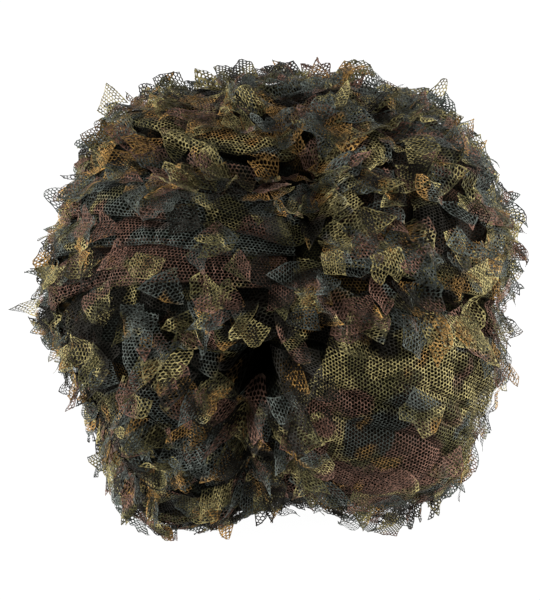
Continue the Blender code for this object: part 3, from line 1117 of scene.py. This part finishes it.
def standingLeaf(ray, run, lift, shape, band, seed):
    chance = np.random.default_rng(seed)
    flat, quads = leafTemplate(leafShapes[shape][0], latticePulls[standing["pull"]])
    fullLift = lift / standing["calm"]
    points, cloth = layLeaf(flat, ray, run, np.cross(run, ray), chance, standing["calm"],
                            (fullLift, fullLift), standing["rise"],
                            (bandMiddle(band), standing["printRow"]))
    return points + standing["outward"] * ray, quads, cloth


# azimuth, elevation, heading from level, lift, shape, band of the print: the first six hide the
# darkest slots, and the others the lip over the wide fold
placedLeaves = (
    (-82, 4, 200, 78, "point", 2),
    (84, 56, 200, 24, "dogEar", 0),
    (97, 50, 250, 28, "square", 0),
    (72, 58, 300, 24, "broad", 2),
    (104, 44, 180, 30, "corner", 0),
    (88, 47, 20, 26, "hook", 0),
    (19, 47, 262, 12, "square", 2),
    (26, 46, 276, 12, "broad", 0),
    (33, 43, 266, 12, "twin", 2),
    (40, 40, 280, 12, "corner", 0),
    (55, 31, 262, 14, "broad", 2),
    (63, 22, 268, 14, "twin", 0),
)


def placedLeaf(values, index):
    azimuth, elevation, heading, lift, shape, band = values
    ray = direction(azimuth, elevation)
    return standingLeaf(ray, headingOn(ray, heading), lift, shape, band, 700 + index)


# broad leaves that stand off the outline and face the viewer: turn round the outline from the
# right in degrees, lift, shape, band of the print
outlineFlaps = (
    (22, 64, "dogEar", 0), (14, 62, "broad", 0), (5, 60, "dogEar", 2), (-2, 60, "broad", 0),
    (-9, 60, "point", 0), (-15, 66, "corner", 4), (-21, 66, "square", 0), (-28, 62, "flap", 0),
    (-39, 64, "broad", 0), (36, 66, "square", 0), (52, 58, "point", 4), (155, 64, "corner", 0),
    (130, 62, "square", 2), (172, 60, "dogEar", 2), (205, 58, "square", 0),
)


def outlineRay(turn):
    right = np.array([1.0, 0, 0])
    angle = math.radians(turn)
    return math.cos(angle) * right + math.sin(angle) * np.cross(frontAxis, right)


def keepInBox(points):
    # past the solid's box each coordinate grows by a tanh up to the limit, and near the floor it
    # sinks by an exponential towards the lowest height
    limit = leaves["standProud"]
    free, room = 0.3 * limit, 0.7 * limit
    for axis in range(3):
        centre = (low[axis] + high[axis]) / 2
        start = (high[axis] - low[axis]) / 2 + free
        offset = points[:, axis] - centre
        over = np.clip(np.abs(offset) - start, 0, None)
        held = np.minimum(np.abs(offset), start) + room * np.tanh(over / room)
        points[:, axis] = centre + np.sign(offset) * held
    height, lowest, bendFrom = points[:, 2], 0.0008, 0.008
    sunk = lowest + (bendFrom - lowest) * np.exp((height - bendFrom) / (bendFrom - lowest))
    points[:, 2] = np.where(height < bendFrom, sunk, height)
    return points


# Build

netMaterial = netFinish()
core = innerTurns(innerFinish())
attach(core, "root")
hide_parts("net_bundle")
print("inner turns", len(core.data.polygons))

# side: name and the ray through its middle
sides = (
    ("front", (0, -1, 0)),
    ("top", (0, 0, 1)),
    ("right", (1, 0, 0)),
    ("back", (0, 1, 0)),
    ("left", (-1, 0, 0)),
)


def sideOf(rayArray):
    scores = np.stack([rayArray @ np.array(side[1], float) for side in sides], -1)
    return np.argmax(scores, axis=-1)


def finishSheet(name, parts):
    points, quads, cloth = joined(parts)
    piece = addPiece(name, keepInBox(points), quads, cloth, netMaterial)
    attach(piece, "root")
    triangles = 2 * len(quads)
    return triangles


total = 2 * len(core.data.polygons)
lipParts = [[] for _ in sides]
for index, crease in enumerate(creases):
    if crease[1]:
        made = creaseLip(crease, index)
        lipParts[sideOf(np.mean(made[0] - middle, axis=0))].append(made)

smoothParts = [smoothTurn()]
total += finishSheet("smoothTurns", smoothParts)
coverChart = coverOf([part for parts in [*lipParts, smoothParts] for part in parts])
rootRays = leafRoots()
leafParts = layLeaves(rootRays)
leafParts += [placedLeaf(values, index) for index, values in enumerate(placedLeaves)]
leafParts += [standingLeaf(outlineRay(turn), -frontAxis, lift, shape, band, 800 + index)
              for index, (turn, lift, shape, band) in enumerate(outlineFlaps)]
placedRays = [direction(*values[:2]) for values in placedLeaves]
placedRays += [outlineRay(values[0]) for values in outlineFlaps]
rootRays = np.vstack([rootRays, placedRays])
leafSide = sideOf(rootRays)

for index, side in enumerate(sides):
    total += finishSheet("foldLips_" + side[0], lipParts[index])
    own = [part for part, where in zip(leafParts, leafSide) if where == index]
    total += finishSheet("cutLeaves_" + side[0], own)

print("triangles in all", total)


# Floor, light and camera

studio = {
    "distance": 2.0,
    "viewHeight": 0.522,
    "aim": (-0.0013, 0.0, 0.1805),
    "floorSize": 6.0,
    "floorFinish": {
        "Base Color": (0.02, 0.02, 0.02, 1),
        "Roughness": 0.9,
        "Emission Color": (1, 1, 1, 1),
        "Emission Strength": 0.985,
    },
    "background": {"Color": (1, 1, 1, 1), "Strength": 0.02},
}

# name, where it shines from, its spread in degrees, strength; the two side lamps are nearly level
lamps = (
    ("topLight", (0.0, 0.05, 1.0), 14, 1.5),
    ("leftLight", (-1.0, -0.08, 0.10), 20, 10.3),
    ("rightLight", (1.0, -0.08, 0.12), 20, 10.1),
    ("frontLight", (0.1, -1.0, 0.3), 30, 0.6),
    ("backLight", (0.0, 1.0, 0.3), 30, 1.6),
)


def addFloor():
    mesh = bpy.data.meshes.new("studioFloor")
    size = studio["floorSize"]
    mesh.from_pydata([(-size, -size, 0), (size, -size, 0), (size, size, 0), (-size, size, 0)],
                     [], [(0, 1, 2, 3)])
    n = Nodes("pale_floor")
    setInputs(n.shader, studio["floorFinish"])
    mesh.materials.append(n.material)
    addObject("studioFloor", mesh)


def addSun(name, fromPlace, spread, strength):
    data = bpy.data.lights.new(name, "SUN")
    data.angle = math.radians(spread)
    data.energy = strength
    lamp = addObject(name, data)
    lamp.location = fromPlace
    lamp.rotation_euler = Vector([-c for c in fromPlace]).to_track_quat("-Z", "Y").to_euler()


def addWorld():
    world = bpy.data.worlds.new("studio")
    bpy.context.scene.world = world
    world.use_nodes = True
    setInputs(world.node_tree.nodes["Background"], studio["background"])


def addCamera():
    data = bpy.data.cameras.new("camera")
    camera = addObject("camera", data)
    back = Vector(frontAxis)
    camera.location = Vector(studio["aim"]) + back * studio["distance"]
    camera.rotation_euler = (-back).to_track_quat("-Z", "Y").to_euler()
    data.lens = data.sensor_width * studio["distance"] / studio["viewHeight"]
    bpy.context.scene.camera = camera


addFloor()
addWorld()
for values in lamps:
    addSun(*values)
addCamera()
bpy.context.scene.view_settings.view_transform = "Standard"
print("studio: floor, camera and", len(lamps), "lamps")
